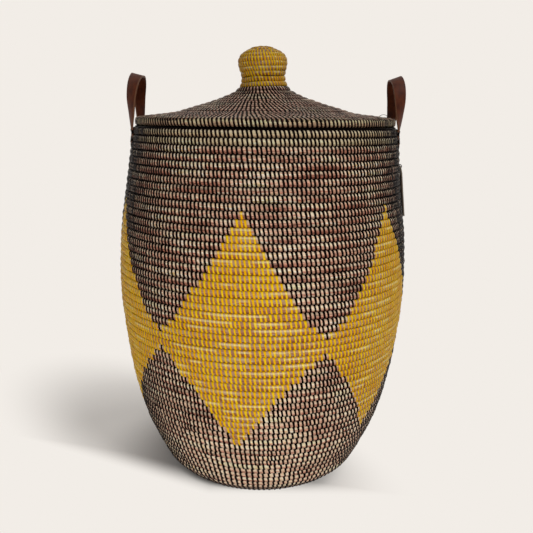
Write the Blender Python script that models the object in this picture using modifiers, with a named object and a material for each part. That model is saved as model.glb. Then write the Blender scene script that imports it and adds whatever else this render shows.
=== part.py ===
"""Lidded laundry hamper of coiled grass, sewn row to row, with two leather strap handles.

Metres, +Z up.  The origin is the middle of the underside, on the floor, and the front
faces -Y.  Each coil row of the real basket is one ridge of a turned shape here.
"""
import math

import bmesh
import bpy
from mathutils import Matrix, Vector

# Basket body
BELLY_RADIUS = 0.210
BODY_HEIGHT = 0.514
BASE_RADIUS = 0.100
COIL_PITCH = 0.0096
WALL_THICKNESS = 0.0095
COIL_GROOVE = 0.0028
WALL_INSIDE_POINTS = 16

# Black-wrapped coil that closes the mouth
RIM_INSET = 0.00321
RIM_WIDTH = 0.009
RIM_HEIGHT = 0.0057

# Lid
LID_INSET = 0.0005
BRIM_WIDTH = 0.0091
BRIM_HEIGHT = 0.0087
LID_RISE = 0.0452
LID_COIL_PITCH = 0.0093
LID_THICKNESS = 0.0088
LID_GROOVE = 0.0020
LID_INSIDE_POINTS = 7
SEATING_RING_WIDTH = 0.0085
SEATING_RING_HEIGHT = 0.0088
SEATING_CLEARANCE = 0.002

# Knob
KNOB_FOOT_RADIUS = 0.0356
KNOB_HEIGHT = 0.0540
KNOB_COIL_PITCH = 0.0070
KNOB_THICKNESS = 0.0070
KNOB_GROOVE = 0.0018
KNOB_INSIDE_POINTS = 7

# Leather strap handles
STRAP_WIDTH = 0.018
STRAP_THICKNESS = 0.003
LEG_OFFSET = 0.0425
FOOT_LENGTH = 0.0225
HINGE_ABOVE_WALL = 0.0008
HINGE_GAP = 0.0006
LEFT_HANDLE_RISE = 0.0777
RIGHT_HANDLE_RISE = 0.0717
LEFT_HANDLE_LEAN = 0.0062
RIGHT_HANDLE_LEAN = 0.0025
HANDLE_TOP_TILT = math.radians(14)
STRAP_SECTIONS = 30

# Black strip lashed over each strap foot
LASHING_WIDTH = 0.0030
LASHING_THICKNESS = 0.0012
LASHING_PLACE_SHARES = {"upper": 0.72, "lower": 0.28}

# Blank hang tag and its tie
TAG_WIDTH = 0.032
TAG_LENGTH = 0.072
TAG_THICKNESS = 0.0015
TAG_CORNER = 0.009
TAG_HOLE_RADIUS = 0.0016
TAG_HOLE_FROM_TOP = 0.0040
TAG_ROW = 6
TAG_BEARING = math.radians(88)
TIE_RADIUS = 0.0030
TIE_WIRE_RADIUS = 0.0006

# Fits and facets
FIT_GAP = 0.0003
MERGE_DISTANCE = 0.00001
TURN_STEPS = 36
KNOB_STEPS = 24
RING_SIDES = 8
CURVE_STEPS = 24
TIE_STEPS = 16
TIE_SIDES = 6
HOLE_STEPS = 12
CUT_OVERRUN = 0.002
VALLEY_ANGLE = math.radians(20)

# Outlines, top to bottom.  Wall: share of the belly radius, share of the body height.
WALL_OUTLINE_SHARES = (
    (0.901, 1.000),
    (0.943, 0.855),
    (0.990, 0.704),
    (1.000, 0.554),
    (0.964, 0.402),
    (0.914, 0.282),
    (0.843, 0.181),
    (0.757, 0.101),
    (0.667, 0.040),
    (0.505, 0.000),
)
# Lid: share of the way from the knob's foot to the brim, share of the lid's rise.
LID_OUTLINE_SHARES = (
    (0.000, 1.000),
    (0.024, 0.907),
    (0.056, 0.808),
    (0.181, 0.630),
    (0.351, 0.454),
    (0.572, 0.254),
    (0.672, 0.166),
    (0.900, 0.077),
    (1.000, 0.030),
)
# Knob: share of its foot radius, share of its height.
KNOB_OUTLINE_SHARES = (
    (0.000, 1.000),
    (0.240, 0.986),
    (0.520, 0.940),
    (0.780, 0.855),
    (0.935, 0.745),
    (0.985, 0.620),
    (0.955, 0.480),
    (0.890, 0.340),
    (0.850, 0.225),
    (0.880, 0.110),
    (1.000, 0.000),
)
# Strap from its hinge line to its top: share of the rise, of the lean, of the leg offset.
STRAP_PATH_SHARES = (
    (0.000, 0.000, 1.00),
    (0.250, 0.060, 1.00),
    (0.550, 0.100, 0.99),
    (0.800, 0.550, 0.79),
    (0.950, 0.900, 0.42),
    (1.000, 1.000, 0.00),
)

# Derived places
MOUTH_RADIUS = WALL_OUTLINE_SHARES[0][0] * BELLY_RADIUS
RIM_OUTER_RADIUS = MOUTH_RADIUS - RIM_INSET
LID_RADIUS = RIM_OUTER_RADIUS - LID_INSET
RIM_TOP = BODY_HEIGHT + FIT_GAP + RIM_HEIGHT
RIM_INNER_RADIUS = RIM_OUTER_RADIUS - RIM_WIDTH
BRIM_BOTTOM = RIM_TOP + FIT_GAP
BRIM_TOP = BRIM_BOTTOM + BRIM_HEIGHT
BRIM_INNER_RADIUS = LID_RADIUS - BRIM_WIDTH
LID_EDGE_RADIUS = BRIM_INNER_RADIUS - FIT_GAP
KNOB_FOOT = BRIM_TOP + LID_RISE + FIT_GAP
HINGE_HEIGHT = BODY_HEIGHT + HINGE_ABOVE_WALL
SEATING_RING_RADIUS = RIM_INNER_RADIUS - SEATING_CLEARANCE

COLLECTION_NAME = "laundry_basket"
CUTTER_COLLECTION_NAME = "cutters"


def clear_scene():
    """Remove every object that the file opened with."""
    for thing in list(bpy.data.objects):
        bpy.data.objects.remove(thing, do_unlink=True)


def new_collection(name):
    """Add a collection to the scene."""
    collection = bpy.data.collections.new(name)
    bpy.context.scene.collection.children.link(collection)
    return collection


def new_material(name, colour, roughness):
    """One plain finish for a sub-part."""
    material = bpy.data.materials.new(name)
    material.use_nodes = True
    shader = material.node_tree.nodes["Principled BSDF"]
    shader.inputs["Base Color"].default_value = (*colour, 1)
    shader.inputs["Roughness"].default_value = roughness
    shader.inputs["Metallic"].default_value = 0
    return material


def grass_finish(name):
    """Tan grass sewn with black strip."""
    return new_material(name, (0.190, 0.105, 0.075), 0.70)


def yellow_finish(name):
    """Grass sewn with yellow strip."""
    return new_material(name, (0.600, 0.370, 0.030), 0.50)


def black_finish(name):
    """Black plastic strip."""
    return new_material(name, (0.010, 0.007, 0.008), 0.40)


def leather_finish(name):
    """Red-brown strap leather."""
    return new_material(name, (0.075, 0.018, 0.008), 0.45)


def tag_finish(name):
    """Grey-brown tag board."""
    return new_material(name, (0.070, 0.058, 0.042), 0.75)


def place_object(name, data, material, collection):
    """Wrap mesh or curve data in a named object with its finish."""
    thing = bpy.data.objects.new(name, data)
    thing.data.materials.append(material)
    collection.objects.link(thing)
    return thing


def smooth_curve(points):
    """Points of a Catmull-Rom curve through the given points."""
    ends = [points[0] * 2 - points[1], *points, points[-1] * 2 - points[-2]]
    curve = [points[0].copy()]
    for index in range(len(points) - 1):
        before, start, end, after = ends[index : index + 4]
        for step in range(1, CURVE_STEPS + 1):
            share = step / CURVE_STEPS
            curve.append(
                (
                    start * 2
                    + (end - before) * share
                    + (before * 2 - start * 5 + end * 4 - after) * share**2
                    + (start * 3 - before - end * 3 + after) * share**3
                )
                / 2
            )
    return curve


def curve_length(curve):
    """Length along a row of points."""
    return sum((end - start).length for start, end in zip(curve, curve[1:]))


def point_along(curve, distance):
    """Point and direction at a distance along a row of points."""
    for start, end in zip(curve, curve[1:]):
        span = (end - start).length
        if distance <= span:
            return start.lerp(end, distance / span), (end - start).normalized()
        distance -= span
    return curve[-1].copy(), (curve[-1] - curve[-2]).normalized()


def evenly_spaced(curve, spans):
    """Points and directions that cut a curve into equal lengths."""
    length = curve_length(curve)
    return [point_along(curve, length * index / spans) for index in range(spans + 1)]


def inward(direction):
    """Unit step into the wall from a surface that runs down its outer side."""
    return Vector((direction.y, -direction.x))


def half_rows(curve, pitch):
    """Points and directions at each groove and crest of the coil rows along a curve, in turn."""
    rows = max(1, round(curve_length(curve) / pitch))
    return evenly_spaced(curve, 2 * rows)


def coiled_surface(curve, pitch, groove):
    """Outer surface of coil rows: a crest on the curve for each row and a groove between."""
    outline = []
    for index, (point, direction) in enumerate(half_rows(curve, pitch)):
        depth = groove if index % 2 == 0 else 0
        outline.append(point + inward(direction) * depth)
    return outline


def inner_surface(curve, thickness, spans):
    """Plain inner surface, one thickness inside the curve, bottom to top."""
    outline = [
        point + inward(direction) * thickness for point, direction in evenly_spaced(curve, spans)
    ]
    outline.reverse()
    return outline


def turned(name, outline, material, collection, steps, closed=False):
    """Turn an outline of (radius, height) points round the Z axis."""
    mesh = bpy.data.meshes.new(name)
    bm = bmesh.new()
    verts = [bm.verts.new((point.x, 0, point.y)) for point in outline]
    for start, end in zip(verts, verts[1:]):
        bm.edges.new((start, end))
    if closed:
        bm.edges.new((verts[-1], verts[0]))
    bm.to_mesh(mesh)
    bm.free()
    thing = place_object(name, mesh, material, collection)
    screw = thing.modifiers.new("Turn", "SCREW")
    screw.axis = "Z"
    screw.angle = math.tau
    screw.steps = steps
    screw.render_steps = steps
    screw.use_merge_vertices = True
    screw.merge_threshold = MERGE_DISTANCE
    screw.use_smooth_shade = True
    evaluated = thing.evaluated_get(bpy.context.evaluated_depsgraph_get())
    solid = bpy.data.meshes.new_from_object(evaluated)
    thing.modifiers.clear()
    thing.data = solid
    bpy.data.meshes.remove(mesh)
    solid.name = name
    crease_valleys(solid)
    return thing


def crease_valleys(mesh):
    """Shade each coil row as a round ridge: sharp where two rows meet, smooth elsewhere."""
    bm = bmesh.new()
    bm.from_mesh(mesh)
    for edge in bm.edges:
        edge.smooth = edge.calc_face_angle_signed(0) > -VALLEY_ANGLE
    bm.to_mesh(mesh)
    bm.free()


def ring_outline(outer_radius, bottom, width, height):
    """Oval section of one coil, clockwise from its top."""
    middle = Vector((outer_radius - width / 2, bottom + height / 2))
    outline = []
    for index in range(RING_SIDES):
        angle = math.pi / 2 - math.tau * index / RING_SIDES
        outline.append(
            middle + Vector((math.cos(angle) * width / 2, math.sin(angle) * height / 2))
        )
    return outline


def wall_curve():
    """Outer profile of the body, from the mouth down to the floor."""
    return smooth_curve(
        [
            Vector((radius_share * BELLY_RADIUS, height_share * BODY_HEIGHT))
            for radius_share, height_share in WALL_OUTLINE_SHARES
        ]
    )


def wall_radius(height):
    """Outer radius of the body at a height."""
    for upper, lower in zip(wall_curve(), wall_curve()[1:]):
        if lower.y <= height <= upper.y:
            share = (upper.y - height) / (upper.y - lower.y)
            return upper.x + (lower.x - upper.x) * share
    return wall_curve()[0].x


def lid_curve():
    """Top profile of the lid, from the knob's foot out to the brim."""
    reach = LID_EDGE_RADIUS - KNOB_FOOT_RADIUS
    return smooth_curve(
        [
            Vector((KNOB_FOOT_RADIUS + out_share * reach, BRIM_TOP + rise_share * LID_RISE))
            for out_share, rise_share in LID_OUTLINE_SHARES
        ]
    )


def knob_curve():
    """Profile of the knob, from its middle top down to its foot."""
    return smooth_curve(
        [
            Vector((radius_share * KNOB_FOOT_RADIUS, KNOB_FOOT + height_share * KNOB_HEIGHT))
            for radius_share, height_share in KNOB_OUTLINE_SHARES
        ]
    )


def build_base(collection):
    """Flat coiled disc that the wall rises from."""
    outline = [
        Vector((0, WALL_THICKNESS)),
        Vector((BASE_RADIUS, WALL_THICKNESS)),
        Vector((BASE_RADIUS, 0)),
        Vector((0, 0)),
    ]
    base = turned("base_coils", outline, grass_finish("base_grass"), collection, TURN_STEPS)
    base.data.shade_flat()


def build_wall(collection):
    """Body wall, one coil thick, with its lowest coil flat on the floor."""
    curve = wall_curve()
    inner_foot = BASE_RADIUS + FIT_GAP
    outline = coiled_surface(curve, COIL_PITCH, COIL_GROOVE)
    outline[0] = Vector((outline[0].x, BODY_HEIGHT))
    outline[-1] = curve[-1].copy()
    inside = [
        point
        for point in inner_surface(curve, WALL_THICKNESS, WALL_INSIDE_POINTS)
        if point.x > inner_foot + FIT_GAP and point.y > WALL_THICKNESS + FIT_GAP
    ]
    inside[-1] = Vector((inside[-1].x, BODY_HEIGHT))
    outline += [Vector((inner_foot, 0)), Vector((inner_foot, WALL_THICKNESS)), *inside]
    turned("wall_coils", outline, grass_finish("wall_grass"), collection, TURN_STEPS, closed=True)


def build_rim(collection):
    """Black-wrapped coil on top of the wall."""
    outline = ring_outline(RIM_OUTER_RADIUS, BODY_HEIGHT + FIT_GAP, RIM_WIDTH, RIM_HEIGHT)
    material = black_finish("rim_black_strip")
    turned("mouth_rim_coil", outline, material, collection, TURN_STEPS, closed=True)


def lid_inside():
    """Underside of the lid from its edge, which stands upright against the brim, to the knob."""
    inside = inner_surface(lid_curve(), LID_THICKNESS, LID_INSIDE_POINTS)
    inside[0].x = LID_EDGE_RADIUS
    return inside


def lid_underside(radius):
    """Height of the lid's underside at a radius."""
    inside = lid_inside()
    for outer, inner in zip(inside, inside[1:]):
        if inner.x <= radius <= outer.x:
            share = (outer.x - radius) / (outer.x - inner.x)
            return outer.y + (inner.y - outer.y) * share
    return inside[0].y


def build_lid(collection):
    """Coiled lid, its brim coil and the ring under it that sits inside the mouth."""
    curve = lid_curve()
    outline = coiled_surface(curve, LID_COIL_PITCH, LID_GROOVE)
    outline[0] = curve[0].copy()
    outline[-1] = curve[-1].copy()
    outline += lid_inside()
    turned("lid_coils", outline, grass_finish("lid_grass"), collection, TURN_STEPS, closed=True)

    brim = ring_outline(LID_RADIUS, BRIM_BOTTOM, BRIM_WIDTH, BRIM_HEIGHT)
    turned("lid_brim_coil", brim, grass_finish("brim_grass"), collection, TURN_STEPS, closed=True)

    ring_top = lid_underside(SEATING_RING_RADIUS - SEATING_RING_WIDTH / 2) - FIT_GAP
    ring = ring_outline(
        SEATING_RING_RADIUS,
        ring_top - SEATING_RING_HEIGHT,
        SEATING_RING_WIDTH,
        SEATING_RING_HEIGHT,
    )
    material = grass_finish("seating_ring_grass")
    turned("lid_seating_ring", ring, material, collection, TURN_STEPS, closed=True)


def build_knob(collection):
    """Hollow coiled knob, open below into the lid."""
    curve = knob_curve()
    outline = coiled_surface(curve, KNOB_COIL_PITCH, KNOB_GROOVE)
    outline[0].x = 0
    outline[-1] = curve[-1].copy()
    inside = inner_surface(curve, KNOB_THICKNESS, KNOB_INSIDE_POINTS)
    inside[-1].x = 0
    turned("lid_knob", outline + inside, yellow_finish("knob_yellow"), collection, KNOB_STEPS)


def foot_place(height):
    """Middle of a strap foot's section at a height, on the +X side, with Y as an offset."""
    radius = wall_radius(min(height, BODY_HEIGHT)) + FIT_GAP + STRAP_THICKNESS / 2
    return Vector((math.sqrt(radius**2 - LEG_OFFSET**2), LEG_OFFSET, height))


def strap_path(rise, lean):
    """Middle line of a strap above its hinge line, front leg to back leg, on the +X side."""
    hinge = foot_place(HINGE_HEIGHT)
    front_leg = [
        Vector(
            (
                hinge.x - lean_share * lean,
                -spread_share * LEG_OFFSET,
                HINGE_HEIGHT + rise_share * rise,
            )
        )
        for rise_share, lean_share, spread_share in STRAP_PATH_SHARES
    ]
    back_leg = [Vector((point.x, -point.y, point.z)) for point in front_leg[-2::-1]]
    return smooth_curve(front_leg + back_leg)


def strap_frame(direction, end_share, leg_sign):
    """Width and inner-face directions of a strap: end_share is 0 at a hinge, 1 at the top."""
    splay = math.asin(LEG_OFFSET / foot_place(HINGE_HEIGHT).xy.length) * (1 - end_share)
    tilt = HANDLE_TOP_TILT * end_share**2
    outward = Vector(
        (
            math.cos(tilt) * math.cos(splay),
            leg_sign * math.cos(tilt) * math.sin(splay),
            math.sin(tilt),
        )
    )
    outward = (outward - direction * outward.dot(direction)).normalized()
    across = direction.cross(outward)
    twist = end_share * math.pi / 2
    width = across * math.cos(twist) + outward * math.sin(twist)
    return width, direction.cross(width)


def strap_blank(length, sections):
    """Straight strap along X, cut across into sections, for bending."""
    bm = bmesh.new()
    bmesh.ops.create_cube(bm, size=1)
    bmesh.ops.scale(bm, vec=(length, STRAP_WIDTH, STRAP_THICKNESS), verts=bm.verts)
    bmesh.ops.translate(bm, vec=(length / 2, 0, 0), verts=bm.verts)
    if sections > 1:
        long_edges = [
            edge for edge in bm.edges if abs(edge.verts[0].co.x - edge.verts[1].co.x) > length / 2
        ]
        bmesh.ops.subdivide_edges(bm, edges=long_edges, cuts=sections - 1)
    return bm


def finish_strap(bm, name, side, origin, collection):
    """Mirror a strap to its side, put its origin in place and make it an object."""
    if side < 0:
        bmesh.ops.scale(bm, vec=(-1, 1, 1), verts=bm.verts)
        bmesh.ops.reverse_faces(bm, faces=bm.faces)
    bmesh.ops.translate(bm, vec=-origin, verts=bm.verts)
    mesh = bpy.data.meshes.new(name)
    bm.to_mesh(mesh)
    bm.free()
    strap = place_object(name, mesh, leather_finish(name + "_leather"), collection)
    strap.location = origin
    return strap


def hinge_line():
    """Radius and height of the line that the leg ends swing about: their outermost corners."""
    splay = math.asin(LEG_OFFSET / foot_place(HINGE_HEIGHT).xy.length)
    reach = STRAP_WIDTH / 2 * math.sin(splay) + STRAP_THICKNESS / 2 * math.cos(splay)
    return foot_place(HINGE_HEIGHT).x + reach, HINGE_HEIGHT


def build_handle_loop(name, side, rise, lean, collection):
    """Strap from hinge line to hinge line, flat on the wall below and edge-up at the top."""
    path = strap_path(rise, lean)
    length = curve_length(path)
    bm = strap_blank(length, STRAP_SECTIONS)
    for vert in bm.verts:
        distance = min(max(vert.co.x, 0), length)
        point, direction = point_along(path, distance)
        end_share = 1 - abs(2 * distance / length - 1)
        leg_sign = -1 if distance < length / 2 else 1
        width, face = strap_frame(direction, end_share, leg_sign)
        vert.co = point + width * vert.co.y + face * vert.co.z
    radius, height = hinge_line()
    finish_strap(bm, name, side, Vector((side * radius, 0, height)), collection)


def foot_frame(side, leg_sign):
    """Matrix of a strap foot: X up the foot, Y across it, Z out of the wall."""
    top = foot_place(HINGE_HEIGHT)
    bottom = foot_place(HINGE_HEIGHT - FOOT_LENGTH)
    up = (top - bottom).normalized()
    outward = Vector((top.x, top.y, 0))
    outward = (outward - up * outward.dot(up)).normalized()
    across = outward.cross(up)
    frame = Matrix((up, across, outward)).transposed().to_4x4()
    frame.translation = top
    mirror = Matrix.Diagonal((side, leg_sign, 1, 1))
    return mirror @ frame


def to_foot(bm, side, leg_sign):
    """Move a shape from a foot's own axes to its place on the wall."""
    frame = foot_frame(side, leg_sign)
    bmesh.ops.transform(bm, matrix=frame, verts=bm.verts)
    if frame.determinant() < 0:
        bmesh.ops.reverse_faces(bm, faces=bm.faces)


def build_foot(name, side, leg_sign, collection):
    """Sewn end of a strap, flat on the outside of the top coils."""
    bm = strap_blank(FOOT_LENGTH - HINGE_GAP, 1)
    bmesh.ops.translate(bm, vec=(-FOOT_LENGTH, 0, 0), verts=bm.verts)
    to_foot(bm, side, leg_sign)
    mesh = bpy.data.meshes.new(name)
    bm.to_mesh(mesh)
    bm.free()
    place_object(name, mesh, leather_finish(name + "_leather"), collection)


def build_lashing(name, side, leg_sign, place_share, collection, cutters):
    """Strip sewn over a strap foot: a bar across it with both ends down on the wall."""
    place = -FOOT_LENGTH * (1 - place_share)
    bar = (
        LASHING_WIDTH,
        STRAP_WIDTH + 2 * (FIT_GAP + LASHING_THICKNESS),
        STRAP_THICKNESS + FIT_GAP + LASHING_THICKNESS,
    )
    notch = (
        LASHING_WIDTH + 2 * CUT_OVERRUN,
        STRAP_WIDTH + 2 * FIT_GAP,
        STRAP_THICKNESS + FIT_GAP + CUT_OVERRUN,
    )
    bar_middle = bar[2] / 2 - STRAP_THICKNESS / 2
    notch_middle = STRAP_THICKNESS / 2 + FIT_GAP - notch[2] / 2
    meshes = []
    for size, middle in ((bar, bar_middle), (notch, notch_middle)):
        bm = bmesh.new()
        bmesh.ops.create_cube(bm, size=1)
        bmesh.ops.scale(bm, vec=size, verts=bm.verts)
        bmesh.ops.translate(bm, vec=(place, 0, middle), verts=bm.verts)
        to_foot(bm, side, leg_sign)
        mesh = bpy.data.meshes.new(name)
        bm.to_mesh(mesh)
        bm.free()
        meshes.append(mesh)
    lashing = place_object(name, meshes[0], black_finish(name + "_strip"), collection)
    cutter = bpy.data.objects.new(name + "_notch", meshes[1])
    cutters.objects.link(cutter)
    cutter.hide_render = True
    cutter.display_type = "WIRE"
    cut = lashing.modifiers.new("Strap notch", "BOOLEAN")
    cut.operation = "DIFFERENCE"
    cut.solver = "EXACT"
    cut.object = cutter


def build_handles(collection, cutters):
    """Both handles: a loop that swings, two sewn feet and two lashings on each foot."""
    handles = (
        ("left", -1, LEFT_HANDLE_RISE, LEFT_HANDLE_LEAN),
        ("right", 1, RIGHT_HANDLE_RISE, RIGHT_HANDLE_LEAN),
    )
    for hand, side, rise, lean in handles:
        build_handle_loop(hand + "_handle_strap", side, rise, lean, collection)
        for leg, leg_sign in (("front", -1), ("back", 1)):
            build_foot(f"{hand}_{leg}_strap_foot", side, leg_sign, collection)
            for level, place_share in LASHING_PLACE_SHARES.items():
                name = f"{hand}_{leg}_{level}_lashing"
                build_lashing(name, side, leg_sign, place_share, collection, cutters)


def polygon_spline(curve, points):
    """Closed straight-sided outline in a flat curve."""
    spline = curve.splines.new("POLY")
    spline.points.add(len(points) - 1)
    for spline_point, (across, up) in zip(spline.points, points):
        spline_point.co = (across, up, 0, 1)
    spline.use_cyclic_u = True


def facet_distance(radius, bearing):
    """Distance from the axis to the flat facet of a turned surface, towards a bearing."""
    step = math.tau / TURN_STEPS
    off_middle = bearing % step - step / 2
    return radius * math.cos(step / 2) / math.cos(off_middle)


def tag_pivot():
    """Top of the tie ring, which the tag swings about: the ring hugs one coil row's crest."""
    crest = half_rows(wall_curve(), COIL_PITCH)[2 * TAG_ROW - 1][0]
    distance = facet_distance(crest.x, TAG_BEARING) + FIT_GAP + TIE_WIRE_RADIUS + TIE_RADIUS
    towards = Vector((math.sin(TAG_BEARING), -math.cos(TAG_BEARING), 0))
    return towards * distance + Vector((0, 0, crest.y + TIE_RADIUS))


def tag_slope():
    """Angle off plumb at which the tag's foot leans on the belly."""
    top = tag_pivot()
    hang = 2 * TIE_RADIUS + TAG_LENGTH - TAG_HOLE_FROM_TOP
    foot_radius = wall_radius(top.z - hang) + FIT_GAP + TAG_THICKNESS
    return math.atan2(foot_radius - top.xy.length, hang)


def build_tag(collection):
    """Blank tag with cut corners, hung on a small tie through the wall's sewing."""
    half_width = TAG_WIDTH / 2
    hole_height = -2 * TIE_RADIUS
    top = hole_height + TAG_HOLE_FROM_TOP
    bottom = top - TAG_LENGTH
    curve = bpy.data.curves.new("hang_tag", "CURVE")
    curve.dimensions = "2D"
    curve.fill_mode = "BOTH"
    curve.extrude = TAG_THICKNESS / 2
    polygon_spline(
        curve,
        (
            (-half_width, bottom),
            (half_width, bottom),
            (half_width, top - TAG_CORNER),
            (half_width - TAG_CORNER, top),
            (TAG_CORNER - half_width, top),
            (-half_width, top - TAG_CORNER),
        ),
    )
    polygon_spline(
        curve,
        [
            (
                TAG_HOLE_RADIUS * math.cos(math.tau * step / HOLE_STEPS),
                hole_height + TAG_HOLE_RADIUS * math.sin(math.tau * step / HOLE_STEPS),
            )
            for step in range(HOLE_STEPS)
        ],
    )
    tag = place_object("hang_tag", curve, tag_finish("tag_board"), collection)
    tag.location = tag_pivot()
    tag.rotation_euler = (math.pi / 2 - tag_slope(), 0, TAG_BEARING)

    bpy.ops.mesh.primitive_torus_add(
        major_radius=TIE_RADIUS,
        minor_radius=TIE_WIRE_RADIUS,
        major_segments=TIE_STEPS,
        minor_segments=TIE_SIDES,
    )
    tie = bpy.context.active_object
    tie.name = "tag_tie"
    tie.data.transform(Matrix.Rotation(math.pi / 2, 4, "Y"))
    tie.data.transform(Matrix.Translation((0, 0, -TIE_RADIUS)))
    tie.data.shade_smooth()
    tie.data.materials.append(black_finish("tie_strip"))
    tie.location = tag_pivot()
    tie.rotation_euler = (0, 0, TAG_BEARING)
    for owner in list(tie.users_collection):
        owner.objects.unlink(tie)
    collection.objects.link(tie)


def build():
    """Make the whole basket."""
    clear_scene()
    collection = new_collection(COLLECTION_NAME)
    cutters = new_collection(CUTTER_COLLECTION_NAME)
    build_base(collection)
    build_wall(collection)
    build_rim(collection)
    build_lid(collection)
    build_knob(collection)
    build_handles(collection, cutters)
    build_tag(collection)


build()
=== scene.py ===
"""Lidded laundry hamper of coiled grass, sewn with black and yellow strip, around its frame."""

import math

import bmesh
import bpy
import numpy as np
from mathutils import Matrix, Vector


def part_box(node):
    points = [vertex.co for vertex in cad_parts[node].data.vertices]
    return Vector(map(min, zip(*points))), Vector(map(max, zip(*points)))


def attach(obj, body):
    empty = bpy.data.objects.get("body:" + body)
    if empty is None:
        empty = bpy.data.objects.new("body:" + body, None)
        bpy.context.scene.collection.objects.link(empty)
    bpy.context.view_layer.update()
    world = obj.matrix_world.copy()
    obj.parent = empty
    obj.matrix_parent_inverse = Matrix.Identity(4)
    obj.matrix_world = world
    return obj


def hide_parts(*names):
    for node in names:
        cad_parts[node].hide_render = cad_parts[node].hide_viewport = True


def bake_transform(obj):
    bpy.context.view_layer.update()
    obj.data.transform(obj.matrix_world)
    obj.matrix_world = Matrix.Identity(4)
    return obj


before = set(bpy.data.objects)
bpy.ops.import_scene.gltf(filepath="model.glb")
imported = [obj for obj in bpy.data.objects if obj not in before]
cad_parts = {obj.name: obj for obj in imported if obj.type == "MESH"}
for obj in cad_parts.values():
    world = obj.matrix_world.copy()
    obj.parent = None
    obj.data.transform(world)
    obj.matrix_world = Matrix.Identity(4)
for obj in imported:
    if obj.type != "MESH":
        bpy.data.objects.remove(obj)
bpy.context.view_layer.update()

# The camera stands a metre in front of the hamper, level with its lid, and looks down a little.
# The picture is square, and the hamper's axis lies a little left of its middle.
CAMERA_DISTANCE = 1.0
CAMERA_HEIGHT = 0.5305
CAMERA_PITCH = math.radians(12.5)
PICTURE_PIXELS = 533
FOCAL_PIXELS = 675
AXIS_PIXEL = 262.4
CAMERA_ROLL = math.radians(0.49)
camera_data = bpy.data.cameras.new("camera")
camera_data.lens = FOCAL_PIXELS / PICTURE_PIXELS * camera_data.sensor_width
camera_data.shift_x = (PICTURE_PIXELS / 2 - AXIS_PIXEL) / PICTURE_PIXELS
camera = bpy.data.objects.new("camera", camera_data)
camera.location = (0, -CAMERA_DISTANCE, CAMERA_HEIGHT)
level = Matrix.Rotation(math.pi / 2 - CAMERA_PITCH, 3, "X")
view_turn = level @ Matrix.Rotation(CAMERA_ROLL, 3, "Z")
camera.rotation_euler = view_turn.to_euler()
bpy.context.scene.collection.objects.link(camera)
bpy.context.scene.camera = camera


# Base and wall: one bundle of dry grass as thick as a finger, wound up from the middle of the base
# to the mouth, each turn sewn to the one below.  It drops from row to row at the back and ends in
# a taper under the rim.  Between two stitches the bundle swells, and under one it is pinched.
WALL_OUTLINE_SHARES = (
    (0.901, 1.003),
    (0.943, 0.855),
    (0.990, 0.704),
    (1.000, 0.554),
    (0.964, 0.402),
    (0.914, 0.282),
    (0.843, 0.181),
    (0.757, 0.101),
    (0.667, 0.040),
    (0.505, 0.000),
    (0.300, 0.000),
    (0.100, 0.000),
    (0.000, 0.000),
)
WALL_ROW = 0.00967
WALL_BUNDLE = 0.0095
BACK_DROP_SHARE = 0.25
WALL_SQUARENESS = 0.68
WALL_OVERLAP = 1.03
BASE_CLEAR = 0.0011
WALL_LEAN = 0.0010
WALL_WOBBLE = 0.0004
WALL_SPACING_HEIGHTS = (0.03, 0.10, 0.16, 0.30, 0.51)
WALL_SPACINGS = (0.0071, 0.0070, 0.0062, 0.0059, 0.0055)
TOP_SHIFT_HEIGHTS = (0.42, 0.505, 0.54, 0.60)
TOP_SHIFTS = (0.0, 0.0026, 0.0022, -0.0018)
WOBBLE_RUNS = (9, 13)
WOBBLE_UP = 0.6
DEPTH_OF_HEIGHT = 1.3
LEAST_DEPTH = 0.0004
PINCH = 0.0008
SWELL = 0.0002
EVENING_ROUNDS = 10
EVENING = 0.3
UNEVEN = 0.05
FIRST_STITCHES = (0.1, 0.4, 0.7)
FEWEST_STITCHES = 4
GRASS_OUT_ANGLES = np.radians(np.linspace(-105, 105, 9))
GRASS_IN_ANGLES = np.radians((150, 210))
GRASS_CREST = 105 / 360
GRASS_RUN_COLOURS = (
    (0.28, 124, 71, 57),
    (0.40, 178, 117, 96),
    (0.50, 216, 162, 137),
    (0.58, 246, 213, 184),
    (0.66, 230, 213, 172),
    (0.78, 200, 195, 154),
)
RUN_SCALES = (13, 3)
STEM_SCALES = (95, 24)
STEM_CONTRAST = 0.66
FIBRE_SCALES = (90, 60)
# Painted highlight along the top of each grass row and painted shade along its underside.
CREST_HIGHLIGHT_BAND = (0.33, 0.18)
UNDER_SHADE_BAND = (0.28, 0.41)
# Painted shade in the grooves between rows and in the grass beside each stitch.
GROOVE_SHADE_BAND = (0.18, 0.235)
STITCH_BAND = (0.25, 0.12)
INSIDE_BAND = (0.28, 0.30)
INSIDE_STITCH_BAND = (0.24, 0.20)
GREEN_LENGTH = (2.6, 2.3)
MOUTH_GREEN = 0.5
# Painted shade on the lowest row, whose underside little light reaches.
FOOT_SHADE_HEIGHT = (0.028, 0.016)
FOOT_SHADE_TINT = (0.16, 0.12, 0.10)
# Painted glints: paler streaks along the upper side of some rows, on grass and strip alike.
GLINT_RUN = 60
GLINT_FROM = np.radians((-43, -28))
GLINT_TO = np.radians((-5, -16))
GLINT_BAND = (0.0, 0.7)
OUTLINE_STEPS = 40
DIAMOND_ROWS = (10.1, 12.0, 20.3, 25.5, 27.4, 29.6, 31.3, 35.9, 40.4, 43.9)
DIAMOND_SHARES = (0, 0.062, 0.495, 0.80, 1, 1, 0.85, 0.48, 0.20, 0)
DIAMOND_TOPS = np.radians((-127.0, -71.5, -7.5, 53.0, 112.4, 173.0))
DIAMOND_SIDES = np.radians((-158.6, -98.0, -39.6, 23.2, 82.0, 143.4))
LOWER_HALF_ROW = 28
MIDDLE_GRASS_ROW = 20
LOWER_ROW = 40
BASE_START = 0.6
LOWER_SLIP = math.radians(-2.6)

wall_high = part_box("wall_coils")[1]


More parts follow.
